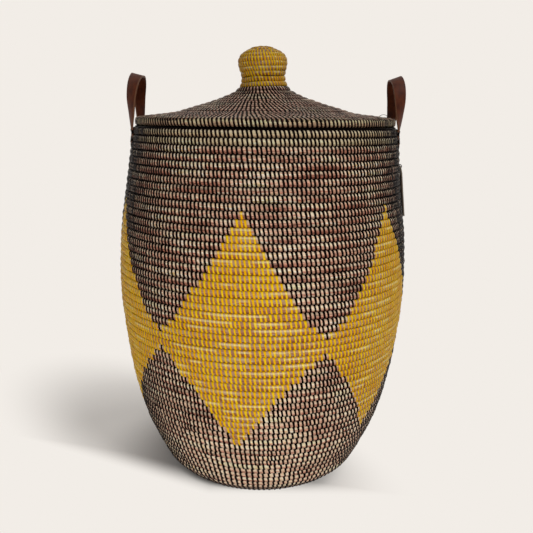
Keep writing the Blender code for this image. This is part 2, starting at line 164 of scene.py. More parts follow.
def smooth_outline(points):
    """Smooth curve through points: distances along it, places and directions."""
    points = np.array(points, float)
    ends = np.vstack([2 * points[0] - points[1], points, 2 * points[-1] - points[-2]])
    share = np.linspace(0, 1, OUTLINE_STEPS, endpoint=False)[:, None]
    spans = [
        start
        + (end - before) * share / 2
        + (before - 2.5 * start + 2 * end - after / 2) * share**2
        + (1.5 * start - before / 2 - 1.5 * end + after / 2) * share**3
        for before, start, end, after in zip(ends, ends[1:], ends[2:], ends[3:])
    ]
    curve = np.vstack([*spans, points[-1]])
    distance = np.append(0, np.cumsum(np.linalg.norm(np.diff(curve, axis=0), axis=1)))
    direction = np.gradient(curve, distance, axis=0)
    direction /= np.linalg.norm(direction, axis=1)[:, None]
    return distance, curve, direction


def kept_along(line, kept, distance):
    """Numbers kept along a line, read at distances along it."""
    return np.stack([np.interp(distance, line, column) for column in kept.T], -1)


def slow_noise(values, seed, knots=4096):
    """Smooth noise from -1 to 1 along a number line."""
    heights = np.random.RandomState(seed).uniform(-1, 1, knots)
    whole = np.floor(values).astype(int)
    share = values - whole
    share = share * share * (3 - 2 * share)
    return heights[whole % knots] * (1 - share) + heights[(whole + 1) % knots] * share


class Coil:
    """A bundle wound round the axis down an outline, one turn to a row, from the top row 0."""

    def __init__(
        self, outline, row_edges, bundle, squareness, overlap, drop_shares, lean, wobble, bulge,
        seed,
    ):
        self.distance, self.curve, self.direction = outline
        self.row_edges = np.array(row_edges)
        self.rows = len(row_edges) - 1
        self.bundle = bundle
        self.squareness = squareness
        self.overlap = overlap
        self.drop_shares = np.append(drop_shares, drop_shares[-1])
        self.lean = lean
        self.wobble = np.append(wobble, wobble[-1])
        self.bulge = bulge
        self.seed = seed

    def along(self, distance):
        """Place and direction of the outline at distances along it."""
        place = kept_along(self.distance, self.curve, distance).T
        direction = kept_along(self.distance, self.direction, distance).T
        return place, direction / np.hypot(*direction)

    def row_radius(self, row):
        """Radius of the middle of a row."""
        middle = np.interp(row + 0.5, np.arange(self.rows + 1), self.row_edges)
        return float(np.interp(middle, self.distance, self.curve[:, 0]))

    def surface(self, turn, section, lift=0.0, slide=0.0):
        """Points on the bundle.  section is the angle round it, 0 facing out and a right angle
        facing down the outline; lift stands off it, and slide runs along it."""
        row = np.clip(np.floor(turn), 0, self.rows).astype(int)
        part = turn - row
        drop = np.clip(part / self.drop_shares[row], 0, 1)
        rows = np.arange(self.rows + 1)
        upper = np.interp(np.clip(row - 1 + drop, 0, self.rows), rows, self.row_edges)
        lower = np.interp(np.clip(row + drop, 0, self.rows), rows, self.row_edges)
        wobble = self.wobble[row]
        up_and_down = slow_noise(turn * WOBBLE_RUNS[0], self.seed) * WOBBLE_UP
        middle = (upper + lower) / 2 + wobble * up_and_down
        half_height = (lower - upper) / 2
        place, direction = self.along(middle)
        outward = np.array([-direction[1], direction[0]])
        half_depth = np.minimum(self.bundle / 2, half_height * DEPTH_OF_HEIGHT + LEAST_DEPTH)
        centre = place - outward * half_depth
        centre = centre + outward * wobble * slow_noise(turn * WOBBLE_RUNS[1], self.seed + 1)
        cosine, sine = np.cos(section), np.sin(section)
        out = np.sign(cosine) * np.abs(cosine) ** self.squareness
        down = np.sign(sine) * np.abs(sine) ** self.squareness
        place = (
            centre
            + outward * (half_depth + lift) * out
            + direction * (half_height * self.overlap + lift) * down
        )
        lean = self.lean * np.clip(half_height * 2 / WALL_ROW, 0, 1) * down
        reach = np.maximum(place[0], self.bundle)
        bearing = math.pi - math.tau * part + (lean + slide) / reach
        across = place[0] * np.sin(bearing) + top_shift(place[1])
        return np.stack([across, -place[0] * np.cos(bearing), place[1]], -1)


def top_shift(height):
    """How far the hamper, made by hand and not quite true, stands to the right at a height."""
    return np.interp(height, TOP_SHIFT_HEIGHTS, TOP_SHIFTS)


def next_row(marks, count, random):
    """Stitches of the next row: each follows one of the row before, with some added or dropped."""
    while len(marks) != count:
        gaps = np.diff(np.append(marks, marks[0] + 1))
        order = np.argsort(gaps)
        if len(marks) < count:
            widest = order[::-1][: count - len(marks)]
            marks = np.sort(np.append(marks, marks[widest] + gaps[widest] / 2) % 1)
        else:
            marks = np.delete(marks, order[: len(marks) - count])
    for _ in range(EVENING_ROUNDS):
        before = np.roll(marks, 1)
        before[0] -= 1
        after = np.roll(marks, -1)
        after[-1] += 1
        marks = marks + EVENING * ((before + after) / 2 - marks)
    return np.sort((marks + random.normal(0, UNEVEN / count, count)) % 1)


def sew(coil, rows, spacing, seed, drift=0.0):
    """Turns of all stitches, in order.  rows are listed as sewn, and drift moves each sideways."""
    random = np.random.RandomState(seed)
    marks = np.array(FIRST_STITCHES)
    sewn = {}
    for row in rows:
        length = math.tau * coil.row_radius(row)
        count = max(FEWEST_STITCHES, round(length / spacing(row)))
        marks = np.sort((marks - drift / length) % 1)
        marks = next_row(marks, count, random)
        sewn[row] = row + marks
    return np.concatenate([sewn[row] for row in sorted(sewn)])


def finished_mesh(bm, name):
    """Turn a bmesh into a smooth-shaded mesh."""
    mesh = bpy.data.meshes.new(name)
    bm.to_mesh(mesh)
    bm.free()
    mesh.shade_smooth()
    return mesh


def coordinates(mesh):
    """Vertex places of a mesh as an array."""
    places = np.empty(len(mesh.vertices) * 3, np.float32)
    mesh.vertices.foreach_get("co", places)
    return places.reshape(-1, 3).astype(float)


def place_vertices(mesh, places):
    """Put the vertices of a mesh in their places."""
    mesh.vertices.foreach_set("co", places.astype(np.float32).ravel())
    mesh.update()


def add_attribute(mesh, name, *parts):
    """Keep a vector for each vertex, from its three parts, for the material to read."""
    attribute = mesh.attributes.new(name, "FLOAT_VECTOR", "POINT")
    attribute.data.foreach_set("vector", np.stack(parts, -1).astype(np.float32).ravel())


def close_tube(mesh):
    """Weld a tube's long seam and cap its two ends."""
    bm = bmesh.new()
    bm.from_mesh(mesh)
    bmesh.ops.remove_doubles(bm, verts=bm.verts, dist=1e-6)
    ends = [edge for edge in bm.edges if edge.is_boundary]
    bmesh.ops.holes_fill(bm, edges=ends)
    bm.to_mesh(mesh)
    bm.free()


def crest_share(section):
    """Angles round the bundle as the shares of a whole turn kept on the mesh."""
    return (section + GRASS_CREST * math.tau) / math.tau


def grid_mesh(name, columns, rings):
    """A grid to roll into a tube, with the column and the ring of each vertex."""
    bm = bmesh.new()
    bmesh.ops.create_grid(bm, x_segments=columns, y_segments=rings, size=0.5)
    mesh = finished_mesh(bm, name)
    shares = coordinates(mesh)[:, :2] + 0.5
    column, ring = np.rint(shares * (columns, rings)).astype(int).T
    return mesh, column, ring


def grass_bundle(name, coil, stitches, is_yellow, first_turn, last_turn):
    """Bundle between two turns: a grid whose columns are the stitches and the swells between."""
    inside = stitches[(stitches > first_turn) & (stitches < last_turn)]
    start = int(np.searchsorted(stitches, inside[0]))
    turns = np.empty(2 * len(inside) + 1)
    turns[1::2] = inside
    turns[2:-1:2] = (inside[:-1] + inside[1:]) / 2
    turns[0], turns[-1] = first_turn, last_turn
    numbers = start + np.arange(len(turns)) / 2 - 0.5
    angles = np.concatenate([GRASS_OUT_ANGLES, GRASS_IN_ANGLES, GRASS_OUT_ANGLES[:1] + math.tau])
    mesh, column, ring = grid_mesh(name, len(turns) - 1, len(angles) - 1)
    turn, section = turns[column], angles[ring]
    is_pinched = column % 2
    swell = coil.bulge + SWELL * slow_noise(numbers[column], coil.seed + 3)
    place_vertices(mesh, coil.surface(turn, section, np.where(is_pinched, -PINCH, swell)))
    length_of_turns = np.cumsum([math.tau * coil.row_radius(row) for row in range(coil.rows + 2)])
    along = np.interp(turn, np.arange(1, coil.rows + 3), length_of_turns)
    around = crest_share(section)
    add_attribute(mesh, "coil", along, around, numbers[column])
    strip = np.interp(numbers, np.arange(len(is_yellow)), is_yellow)[column]
    glint = slow_noise(turn * GLINT_RUN, coil.seed + 40)
    add_attribute(mesh, "strip", strip, glint, glint)
    close_tube(mesh)
    return new_piece(name, mesh)


def new_piece(name, mesh):
    """Wrap a mesh in an object of the scene."""
    piece = bpy.data.objects.new(name, mesh)
    bpy.context.scene.collection.objects.link(piece)
    return piece


wall_points = np.array(WALL_OUTLINE_SHARES)
wall_outline = smooth_outline(wall_points * (1, wall_high.z))
wall_scale = wall_high.x / wall_outline[1][:, 0].max()
wall_outline = smooth_outline(wall_points * (wall_scale, wall_high.z))
np.maximum(wall_outline[1][:, 1], BASE_CLEAR, out=wall_outline[1][:, 1])
wall_rows = round(wall_outline[0][-1] / WALL_ROW)
body_coil = Coil(
    wall_outline,
    np.linspace(0, wall_outline[0][-1], wall_rows + 1),
    WALL_BUNDLE,
    WALL_SQUARENESS,
    WALL_OVERLAP,
    np.full(wall_rows, BACK_DROP_SHARE),
    WALL_LEAN,
    wobble=np.full(wall_rows, WALL_WOBBLE),
    bulge=0.0,
    seed=11,
)


def wall_spacing(row):
    """Distance between stitches, wider where the hamper was begun."""
    height = np.interp((row + 0.5) * WALL_ROW, wall_outline[0], wall_outline[1][:, 1])
    return np.interp(height, WALL_SPACING_HEIGHTS, WALL_SPACINGS)


def is_in_diamond(turns):
    """Whether each stitch of the body belongs to a yellow diamond."""
    rows = np.floor(turns) + 1
    bearing = math.pi - math.tau * (turns % 1)
    share = np.interp(rows, DIAMOND_ROWS, DIAMOND_SHARES)
    slip = np.where(rows > LOWER_HALF_ROW, LOWER_SLIP, 0.0)
    within = np.zeros(len(turns), bool)
    for top, left, right in zip(DIAMOND_TOPS, DIAMOND_SIDES, np.roll(DIAMOND_SIDES, -1)):
        off, reach_left, reach_right = (
            (angle - top - slip + math.pi) % math.tau - math.pi for angle in (bearing, left, right)
        )
        within |= (off > share * reach_left) & (off < share * reach_right)
    return within


body_stitches = sew(body_coil, range(wall_rows - 1, -1, -1), wall_spacing, seed=5)
yellow = is_in_diamond(body_stitches)


class Shading:
    """Short hand for wiring a material's nodes."""

    def __init__(self, name, roughness, shine=0.5):
        self.material = bpy.data.materials.new(name)
        self.material.use_nodes = True
        self.nodes = self.material.node_tree.nodes
        self.links = self.material.node_tree.links
        self.shader = self.nodes["Principled BSDF"]
        self.shader.inputs["Roughness"].default_value = roughness
        self.shader.inputs["Specular IOR Level"].default_value = shine

    def put(self, value, socket):
        """Link an output to a socket, or set the socket to a plain value."""
        if isinstance(value, bpy.types.NodeSocket):
            self.links.new(value, socket)
        else:
            socket.default_value = value

    def put_colour(self, value, socket):
        """Link a colour to a socket, or set the socket to a plain one."""
        self.put((*value, 1) if isinstance(value, tuple) else value, socket)

    def parts(self, vector):
        """The three numbers of a vector."""
        node = self.nodes.new("ShaderNodeSeparateXYZ")
        self.put(vector, node.inputs[0])
        return tuple(node.outputs)

    def attribute(self, name):
        """The three numbers of a vector kept on the mesh."""
        source = self.nodes.new("ShaderNodeAttribute")
        source.attribute_name = name
        return self.parts(source.outputs["Vector"])

    def object_place(self):
        """Object coordinates."""
        return self.nodes.new("ShaderNodeTexCoord").outputs["Object"]

    def math(self, operation, first, second=0.0, clamp=False):
        """One sum."""
        node = self.nodes.new("ShaderNodeMath")
        node.operation = operation
        node.use_clamp = clamp
        self.put(first, node.inputs[0])
        self.put(second, node.inputs[1])
        return node.outputs[0]

    def times(self, first, second, clamp=False):
        """A product."""
        return self.math("MULTIPLY", first, second, clamp)

    def vector(self, *parts):
        """A vector from three numbers."""
        node = self.nodes.new("ShaderNodeCombineXYZ")
        for part, socket in zip(parts, node.inputs):
            self.put(part, socket)
        return node.outputs[0]

    def noise(self, place, scale, detail=2.0, roughness=0.5):
        """Noise from 0 to 1."""
        node = self.nodes.new("ShaderNodeTexNoise")
        self.put(place, node.inputs["Vector"])
        node.inputs["Scale"].default_value = scale
        node.inputs["Detail"].default_value = detail
        node.inputs["Roughness"].default_value = roughness
        return node.outputs["Fac"]

    def ramp(self, value, *stops):
        """Colours along a number: (place, colour) pairs."""
        node = self.nodes.new("ShaderNodeValToRGB")
        self.put(value, node.inputs["Fac"])
        elements = node.color_ramp.elements
        while len(elements) < len(stops):
            elements.new(1.0)
        for element, (place, colour) in zip(elements, stops):
            element.position = place
            element.color = (*colour, 1)
        return node.outputs["Color"]

    def mix(self, share, first, second, blend="MIX"):
        """Blend two colours."""
        node = self.nodes.new("ShaderNodeMix")
        node.data_type = "RGBA"
        node.blend_type = blend
        self.put(share, node.inputs["Factor"])
        colours = [socket for socket in node.inputs if socket.type == "RGBA"]
        self.put_colour(first, colours[0])
        self.put_colour(second, colours[1])
        return next(socket for socket in node.outputs if socket.type == "RGBA")

    def band(self, value, low, high):
        """0 below low, 1 above high, and smooth between."""
        node = self.nodes.new("ShaderNodeMapRange")
        node.interpolation_type = "SMOOTHSTEP"
        self.put(value, node.inputs["Value"])
        node.inputs["From Min"].default_value = low
        node.inputs["From Max"].default_value = high
        return node.outputs["Result"]

    def colour(self, value):
        """Set the base colour."""
        self.put_colour(value, self.shader.inputs["Base Color"])

    def bump(self, height, strength, distance):
        """Raise the surface by a number, without changing its shape."""
        node = self.nodes.new("ShaderNodeBump")
        node.inputs["Strength"].default_value = strength
        node.inputs["Distance"].default_value = distance
        self.put(height, node.inputs["Height"])
        self.links.new(node.outputs["Normal"], self.shader.inputs["Normal"])


def linear(red, green, blue):
    """A colour as a paint chart gives it, 0 to 255, in the renderer's own numbers."""
    return tuple(
        part / 255 / 12.92 if part <= 10 else ((part / 255 + 0.055) / 1.055) ** 2.4
        for part in (red, green, blue)
    )


def grass_material(name, pale, green, darken_below_height, darken_tint):
    """Dry grass stems in long runs of pink tan, cream, pale green and mauve brown.  They carry
    painted highlight along the top of each row and in glints along some rows, and painted shade
    under each row, in the grooves and beside each stitch.  Below a given height they are darker:
    painted shade at the basket's foot, a greener band under the lid's brim.  A pale share paints
    them paler overall, in place of more light, and inside the strip crosses them as well."""
    grass = Shading(name, roughness=0.5, shine=0.12)
    along, around, stitch = grass.attribute("coil")
    is_yellow, glint, _ = grass.attribute("strip")

    def stems(along_scale, around_scale):
        """Noise drawn out along the stems."""
        place = grass.vector(grass.times(along, along_scale), grass.times(around, around_scale))
        return grass.noise(place, 1.0, 2.0)

    runs = ((place, linear(*colour)) for place, *colour in GRASS_RUN_COLOURS)
    colour = grass.ramp(stems(*RUN_SCALES), *runs)
    stem = stems(*STEM_SCALES)
    stem_shade = grass.ramp(stem, (0.36, (0.02, 0.01, 0.0)), (0.62, (1.0, 1.0, 0.97)))
    colour = grass.mix(STEM_CONTRAST, colour, stem_shade, "OVERLAY")
    # Painted light: a share of the grass made paler overall, standing in for more light.
    colour = grass.mix(pale, colour, linear(255, 226, 206))
    off_crest = grass.math("ABSOLUTE", grass.math("SUBTRACT", around, GRASS_CREST))
    off_stitch = grass.math("PINGPONG", stitch, 0.5)
    upper = grass.times(
        grass.band(around, *crest_share(GLINT_FROM)), grass.band(around, *crest_share(GLINT_TO))
    )
    layers = (
        (grass.band(along, *GREEN_LENGTH), green, (202, 208, 158)),
        # painted highlight along the top of each row
        (grass.band(around, *CREST_HIGHLIGHT_BAND), 0.50, (255, 238, 204)),
        # painted shade along the underside of each row
        (grass.band(around, *UNDER_SHADE_BAND), 0.66, (84, 42, 30)),
        (is_yellow, 0.62, (136, 74, 24)),
        # painted glints along the top of some rows
        (grass.times(upper, grass.band(glint, *GLINT_BAND)), 0.4, (255, 240, 204)),
        # painted shade in the grooves between rows
        (grass.band(off_crest, *GROOVE_SHADE_BAND), 0.88, (20, 11, 10)),
        # painted shade in the grass beside each stitch
        (grass.band(off_stitch, *STITCH_BAND), 0.6, (40, 22, 18)),
    )
    for where, strength, tint in layers:
        colour = grass.mix(grass.times(where, strength), colour, linear(*tint))
    inside = grass.times(
        grass.band(off_crest, *INSIDE_BAND), grass.band(off_stitch, *INSIDE_STITCH_BAND)
    )
    strip_colour = grass.mix(is_yellow, linear(14, 8, 8), linear(226, 176, 12))
    colour = grass.mix(inside, colour, strip_colour)
    # Darker below a height: painted shade on the foot row of the basket; on the lid, a darker,
    # greener band below the top of the brim.
    low_darkening = grass.band(grass.parts(grass.object_place())[2], *darken_below_height)
    grass.colour(grass.mix(low_darkening, colour, darken_tint, "MULTIPLY"))
    grass.bump(stems(*FIBRE_SCALES), 0.4, 0.0005)
    return grass.material


dry_grass = grass_material("dry_grass", 0.0, MOUTH_GREEN, FOOT_SHADE_HEIGHT, FOOT_SHADE_TINT)
GRASS_PIECES = (
    ("upper_wall_grass", 0, MIDDLE_GRASS_ROW),
    ("middle_wall_grass", MIDDLE_GRASS_ROW, LOWER_ROW),
    ("lower_wall_grass", LOWER_ROW, wall_rows - BASE_START),
)
for grass_name, first, last in GRASS_PIECES:
    grass_piece = grass_bundle(grass_name, body_coil, body_stitches, yellow, first, last)
    grass_piece.data.materials.append(dry_grass)
    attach(grass_piece, "basket")
    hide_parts("wall_coils", "base_coils")


# Sewing strip: flat recycled plastic, wrapped over each coil row and through the one below.
# Most of it is black, and six diamonds are sewn in yellow round the belly.
BLACK_STRIP_WIDTHS = (0.0038, 0.0029, 0.0026, 0.0028, 0.0038)
YELLOW_STRIP_WIDTHS = (0.0048, 0.0037, 0.0028, 0.0027, 0.0046)
STRIP_WIDTH_ANGLES = np.radians((-80, -45, 0, 40, 80))
STRIP_THICKNESS = 0.0007
STRIP_SUNK = 0.0002
STRIP_WRAP = math.radians(122)
STRIP_TAPER = 0.90
# Painted shade on the strip towards the grooves and on its narrow sides.
GROOVE_SHADE_REACH = (0.6, 1.4)
GROOVE_SHADE_TINT = (0.30, 0.23, 0.12)
SIDE_SHADE_REACH = (0.42, 0.50)
SIDE_SHADE_TINT = (0.76, 0.65, 0.50)
STRIP_CUTS = 5
STITCHES_APART = 2
WIDTH_VARIES = (0.85, 1.12)
THICKNESS_VARIES = (0.7, 1.3)
MIDDLE_STRIP_ROW = 17


def long_edges_of(bm, axis=0):
    """Edges of a blank that run along its length."""
    return [
        edge for edge in bm.edges if abs(edge.verts[0].co[axis] - edge.verts[1].co[axis]) > 0.5
    ]


def strip_blank(name, cuts, axis=0):
    """A straight length of strip: a unit box cut across its length."""
    bm = bmesh.new()
    bmesh.ops.create_cube(bm, size=1)
    bmesh.ops.subdivide_edges(bm, edges=long_edges_of(bm, axis), cuts=cuts)
    return finished_mesh(bm, name)


def sewing(name, coil, turns, strip_widths, seed, thickness):
    """A stitch at each turn: one stitch repeated in a line, then each wrapped over the coil."""
    stitches = new_piece(name, strip_blank("stitch", STRIP_CUTS, axis=1))
    repeat = stitches.modifiers.new("Repeat", "ARRAY")
    repeat.count = len(turns)
    repeat.use_relative_offset = False
    repeat.use_constant_offset = True
    repeat.constant_offset_displace = (STITCHES_APART, 0, 0)
    evaluated = stitches.evaluated_get(bpy.context.evaluated_depsgraph_get())
    mesh = bpy.data.meshes.new_from_object(evaluated)
    stitches.modifiers.clear()
    stitches.data = mesh
    mesh.name = name
    line = coordinates(mesh)
    which = np.rint(line[:, 0] / STITCHES_APART).astype(int)
    across = line[:, 0] - STITCHES_APART * which
    is_top = line[:, 2] > 0
    random = np.random.RandomState(seed)
    widths = random.uniform(*WIDTH_VARIES, len(turns))
    lifts = thickness * random.uniform(*THICKNESS_VARIES, len(turns))
    section = 2 * line[:, 1] * STRIP_WRAP
    width = widths[which] * np.interp(section, STRIP_WIDTH_ANGLES, strip_widths)
    slide = across * width * np.where(is_top, STRIP_TAPER, 1.0)
    lift = np.where(is_top, lifts[which], -2 * STRIP_THICKNESS) - STRIP_SUNK
    place_vertices(mesh, coil.surface(turns[which], section, lift, slide))
    shade = random.uniform(0, 1, len(turns))
    add_attribute(mesh, "strip", across, section, shade[which])
    glint = slow_noise(turns[which] * GLINT_RUN, coil.seed + 40)
    add_attribute(mesh, "glint", glint, glint, glint)
    return stitches


def strip_material(name, dark, light, glint_colour, shine):
    """Plastic strip with a fine lengthwise grain, with painted glints along the top of some rows,
    and painted shade towards the grooves and on its sides.
    """
    strip = Shading(name, 0.24, shine)
    across, along, shade = strip.attribute("strip")
    grain = strip.noise(strip.vector(strip.times(across, 6), along, shade), 1.0, 2.0)
    colour = strip.mix(strip.times(shade, grain, True), dark, light)
    # Painted highlight: paler streaks, standing in for glints, along the upper side of some rows.
    glint_streak = strip.times(strip.band(along, *GLINT_FROM), strip.band(along, *GLINT_TO))
    glint_streak = strip.times(glint_streak, strip.band(strip.attribute("glint")[0], *GLINT_BAND))
    colour = strip.mix(strip.times(glint_streak, 0.6), colour, glint_colour)
    # Painted shade: darker towards the grooves and on the strip's sides.
    groove = strip.band(strip.math("ABSOLUTE", along), *GROOVE_SHADE_REACH)
    colour = strip.mix(groove, colour, GROOVE_SHADE_TINT, "MULTIPLY")
    side = strip.band(strip.math("ABSOLUTE", across), *SIDE_SHADE_REACH)
    strip.colour(strip.mix(side, colour, SIDE_SHADE_TINT, "MULTIPLY"))
    strip.shader.inputs["Specular Tint"].default_value = (1.0, 0.78, 0.66, 1)
    strip.bump(grain, 0.3, 0.0002)
    return strip.material


# The last colour of each strip is its painted glint.
black_strip = strip_material(
    "black_strip", linear(7, 3, 3), linear(34, 18, 15), linear(74, 58, 54), shine=0.02
)
yellow_strip = strip_material(
    "yellow_strip", linear(240, 180, 0), linear(255, 228, 36), linear(255, 242, 150), shine=0.08
)


def sew_on(name, body, coil, turns, widths, seed, finish, thickness=STRIP_THICKNESS):
    """Stitches of one colour on one body."""
    piece = sewing(name, coil, turns, widths, seed, thickness)
    piece.data.materials.append(finish)
    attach(piece, body)


black_stitches = body_stitches[~yellow & (body_stitches < wall_rows - 1)]
cuts = np.searchsorted(black_stitches, (MIDDLE_STRIP_ROW, LOWER_ROW))
black_parts = np.split(black_stitches, cuts)
for seed, (part, turns) in enumerate(zip(("upper", "middle", "lower"), black_parts)):
    name = part + "_black_stitches"
    sew_on(name, "basket", body_coil, turns, BLACK_STRIP_WIDTHS, seed, black_strip)
sew_on(
    "yellow_diamond_stitches", "basket", body_coil, body_stitches[yellow],
    YELLOW_STRIP_WIDTHS, 3, yellow_strip,
)


# Lid: the same coiled work with a thinner bundle, begun at the top of the knob and wound out to the
# brim.  The knob's rows are closer and sewn in yellow, and from its foot on the strip is black.
KNOB_OUTLINE_SHARES = (
    (0.000, 1.000),
    (0.240, 0.986),
    (0.520, 0.940),
    (0.780, 0.855),
    (0.935, 0.745),
    (0.985, 0.620),
    (0.955, 0.480),
    (0.895, 0.340),
    (0.875, 0.250),
    (0.915, 0.130),
    (1.040, 0.000),
)
LID_OUTLINE_SHARES = (
    (0.056, 0.808),
    (0.181, 0.630),
    (0.351, 0.454),
    (0.572, 0.254),
    (0.672, 0.166),
    (0.900, 0.077),
)
BRIM_OUTLINE_SHARES = (
    (0.75, 0.98),
    (1.000, 0.30),
    (0.970, -0.17),
)
# How much paler the lid's grass is painted, in place of more light on the lid.
LID_PAINTED_LIGHT = 0.30
# The lid's grass is darker and greener below the top of the brim.
BRIM_EDGE_BAND = 0.003
BRIM_EDGE_TINT = (0.67, 0.73, 0.60)
KNOB_ROW = 0.0070
LID_ROW = 0.0093
LID_BUNDLE = 0.0078
LID_SQUARENESS = 0.66
LID_OVERLAP = 1.10
LID_LEAN = 0.0009
LID_DRIFT = 0.0017
LID_BULGE = 0.0001
KNOB_WOBBLE = 0.0006
LID_WOBBLE = 0.0003
LID_SPACINGS = (0.0049, 0.0055)
KNOB_START = 0.35
LID_END = 0.98
KNOB_STRIP_WIDTHS = (0.0044, 0.0034, 0.0024, 0.0024, 0.0040)
LID_STRIP_WIDTHS = (0.0038, 0.0030, 0.0028, 0.0029, 0.0038)
LID_STRIP_THICKNESS = 0.00035

knob_low, knob_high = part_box("lid_knob")
lid_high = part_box("lid_coils")[1]
brim_low, brim_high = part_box("lid_brim_coil")
knob_foot = -knob_low.x


def between(shares, start, end):
    """Points from shares of the way between two (radius, height) corners."""
    return [
        (start[0] + across * (end[0] - start[0]), start[1] + up * (end[1] - start[1]))
        for across, up in shares
    ]


knob_points = between(KNOB_OUTLINE_SHARES, (0, knob_low.z), (knob_foot, knob_high.z))
lid_points = between(LID_OUTLINE_SHARES, (knob_foot, brim_high.z), (lid_high.x, lid_high.z))
brim_points = between(BRIM_OUTLINE_SHARES, (lid_high.x, brim_low.z), (brim_high.x, brim_high.z))
lid_outline = smooth_outline([*knob_points, *lid_points, *brim_points])
knob_length = float(np.interp(-knob_low.z, -lid_outline[1][:, 1], lid_outline[0]))
lid_length = float(lid_outline[0][-1])
knob_rows = round(knob_length / KNOB_ROW)
dish_rows = round((lid_length - knob_length) / LID_ROW)
lid_coil = Coil(
    lid_outline,
    np.concatenate(
        [
            np.linspace(0, knob_length, knob_rows, endpoint=False),
            np.linspace(knob_length, lid_length, dish_rows + 1),
        ]
    ),
    LID_BUNDLE,
    LID_SQUARENESS,
    LID_OVERLAP,
    np.append(np.ones(knob_rows), BACK_DROP_SHARE / np.linspace(BACK_DROP_SHARE, 1, dish_rows)),
    LID_LEAN,
    wobble=np.append(np.full(knob_rows, KNOB_WOBBLE), np.full(dish_rows, LID_WOBBLE)),
    bulge=LID_BULGE,
    seed=21,
)


def lid_spacing(row):
    """Distance between stitches of the lid, closer on the knob."""
    return np.interp(row, (knob_rows, knob_rows + dish_rows), LID_SPACINGS)


lid_rows = knob_rows + dish_rows
lid_stitches = sew(lid_coil, range(lid_rows), lid_spacing, seed=6, drift=LID_DRIFT)
brim_end = lid_rows + BACK_DROP_SHARE * LID_END
brim_edge_heights = brim_high.z + BRIM_EDGE_BAND, brim_high.z - BRIM_EDGE_BAND
knob_grass = grass_material("knob_dry_grass", 0.0, 0.0, brim_edge_heights, BRIM_EDGE_TINT)
lit_lid_grass = grass_material("lit_lid_dry_grass", LID_PAINTED_LIGHT, 0.0, brim_edge_heights, BRIM_EDGE_TINT)
LID_GRASS_PIECES = (
    ("knob_grass", KNOB_START, knob_rows, knob_grass, "yellow_sewn_grass", ["lid_knob"]),
    (
        "lid_grass", knob_rows, brim_end, lit_lid_grass, "black_sewn_grass",
        ["lid_coils", "lid_brim_coil"],
    ),
)
for grass_name, first, last, finish, slot, nodes in LID_GRASS_PIECES:
    is_knob = lid_stitches < knob_rows
    grass_piece = grass_bundle(grass_name, lid_coil, lid_stitches, is_knob, first, last)
    grass_piece.data.materials.append(finish)
    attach(grass_piece, "lid")
    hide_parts(*nodes)
knob_turns, lid_turns = np.split(lid_stitches, [np.searchsorted(lid_stitches, knob_rows)])
sew_on(
    "knob_yellow_stitches", "lid", lid_coil, knob_turns, KNOB_STRIP_WIDTHS, 10, yellow_strip,
    LID_STRIP_THICKNESS,
)
sew_on(
    "lid_black_stitches", "lid", lid_coil, lid_turns, LID_STRIP_WIDTHS, 11, black_strip,
    LID_STRIP_THICKNESS,
)


# Loose end: where the strip was cut off after the last stitch of the lid, its end curls up from the
# brim beside the right handle.
LOOSE_END = (
    (0.1665, 0.018, 0.5285),
    (0.1700, 0.019, 0.5325),
    (0.1765, 0.021, 0.5352),
    (0.1825, 0.023, 0.5330),
    (0.1815, 0.024, 0.5285),
)
LOOSE_WIDTH = 0.0016
LOOSE_THICKNESS = 0.0006
LOOSE_CUTS = 16

loose_mesh = strip_blank("loose_strip_end", LOOSE_CUTS)
blank = coordinates(loose_mesh)
lengths, curve, directions = smooth_outline(LOOSE_END)
distance = (blank[:, 0] + 0.5) * lengths[-1]
spine = kept_along(lengths, curve, distance)
heading = kept_along(lengths, directions, distance)
sideways = np.array((0, 1, 0))
face = np.cross(heading, sideways)
place_vertices(
    loose_mesh,
    spine + blank[:, 1:2] * LOOSE_WIDTH * sideways + blank[:, 2:3] * LOOSE_THICKNESS * face,
)
add_attribute(loose_mesh, "strip", blank[:, 1], 0 * distance, 0 * distance + 0.5)
loose_end = new_piece("loose_strip_end", loose_mesh)
loose_end.data.materials.append(black_strip)
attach(loose_end, "lid")


# Mouth rim, a thin coil bound all over with black strip, and the ring sewn under the lid, bound in
# the same way, which keeps the lid from sliding off.
WRAP_PITCH = 0.0029
WRAP_HEIGHT = 0.0005
WRAP_SLANT = 0.0020
WRAP_RIDGE = np.array((0.0, 0.8, 1.0, 0.8))
WRAP_RINGS = 10
WRAP_SHADES = 7
RIM_LOWERED = 0.0018


def bound_ring(name, node, lowered=0.0):
    """Ring of a node's own size, with a slanting ridge for each turn of the strip."""
    low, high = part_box(node)
    inner = min(vertex.co.xy.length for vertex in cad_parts[node].data.vertices)
    middle_radius, half_width = (high.x + inner) / 2, (high.x - inner) / 2
    middle_height, half_height = (high.z + low.z - lowered) / 2, (high.z - low.z - lowered) / 2
    wraps = round(math.tau * middle_radius / WRAP_PITCH)
    columns = len(WRAP_RIDGE) * wraps
    mesh, column, ring = grid_mesh(name, columns, WRAP_RINGS)
    section = ring / WRAP_RINGS * math.tau
    lift = WRAP_HEIGHT * (WRAP_RIDGE[column % len(WRAP_RIDGE)] - 1)
    radius = middle_radius + (half_width + lift) * np.cos(section)
    height = middle_height - (half_height + lift) * np.sin(section)
    bearing = -math.tau * column / columns + WRAP_SLANT / middle_radius * np.sin(section)
    across = radius * np.cos(bearing) + top_shift(height)
    place_vertices(mesh, np.stack([across, radius * np.sin(bearing), height], -1))
    across = column / len(WRAP_RIDGE) % 1 - 0.5
    add_attribute(mesh, "strip", across, section, column % WRAP_SHADES / WRAP_SHADES)
    close_tube(mesh)
    piece = new_piece(name, mesh)
    piece.data.materials.append(black_strip)
    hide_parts(node)
    return piece


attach(bound_ring("bound_mouth_rim", "mouth_rim_coil", RIM_LOWERED), "basket")
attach(bound_ring("bound_seating_ring", "lid_seating_ring"), "lid")


